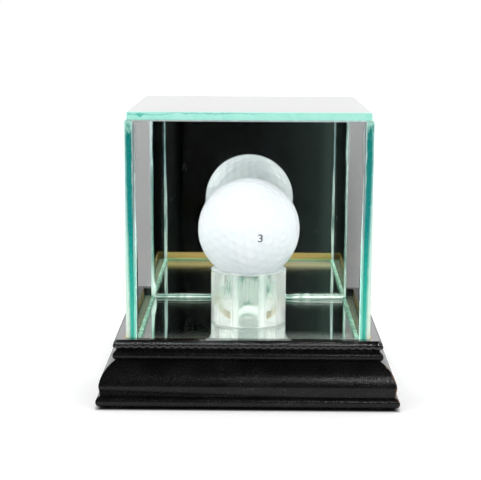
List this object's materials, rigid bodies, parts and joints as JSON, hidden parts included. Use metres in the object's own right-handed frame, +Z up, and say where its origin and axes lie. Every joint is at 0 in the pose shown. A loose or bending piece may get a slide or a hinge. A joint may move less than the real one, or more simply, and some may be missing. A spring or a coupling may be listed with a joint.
{
  "type": "golf ball display case",
  "caption": "Lift-off glass cover with a mirror back on a mirror-floored black wood base, over a dimpled ball on a clear tube stand.",
  "frame": {"origin": "on the table, below the middle of the base", "axes": "+Z up; the front pane faces -Y, the back mirror is at +Y, and +X is to the right seen from the front"},
  "size_m": [0.1174, 0.1174, 0.1143],
  "materials": {
    "black_wood": "black satin lacquer on the moulded faces, raw inside the rim",
    "fibreboard": "raw fibreboard",
    "steel": "plated",
    "foam_tape": "white foam",
    "foot_rubber": "matt",
    "pane_glass": "clear, with ground edges",
    "mirror": "silvered on the far face",
    "clear_adhesive": "translucent",
    "clear_acrylic": "clear, polished",
    "ball_white": "white gloss, dimpled",
    "ball_rubber": "matt"
  },
  "bodies": {
    "base": {"moulding_front": "black_wood", "moulding_right": "black_wood", "moulding_back": "black_wood", "moulding_left": "black_wood", "corner_v_nails": "steel", "floor_board": "fibreboard", "board_screws": "steel", "mirror_tape": "foam_tape", "floor_mirror": "mirror", "foot_front_left": "foot_rubber", "foot_front_right": "foot_rubber", "foot_back_right": "foot_rubber", "foot_back_left": "foot_rubber"},
    "cover": {"seam_front_left": "clear_adhesive", "seam_front_right": "clear_adhesive", "seam_back_right": "clear_adhesive", "seam_back_left": "clear_adhesive", "seam_top": "clear_adhesive", "left_pane": "pane_glass", "right_pane": "pane_glass", "front_pane": "pane_glass", "top_pane": "pane_glass", "back_mirror": "mirror"},
    "stand": {"ball_stand": "clear_acrylic"},
    "ball": {"ball_cover": "ball_white", "ball_core": "ball_rubber"}
  },
  "joints": [
    {"name": "cover_lift", "type": "slide", "parent": "base", "child": "cover", "axis": [0, 0, 1], "range_m": [0, 0.1]},
    {"name": "stand_lift", "type": "slide", "parent": "base", "child": "stand", "axis": [0, 0, 1], "range_m": [0, 0.01]},
    {"name": "ball_lift", "type": "slide", "parent": "stand", "child": "ball", "axis": [0, 0, 1], "range_m": [0, 0.012]}
  ]
}
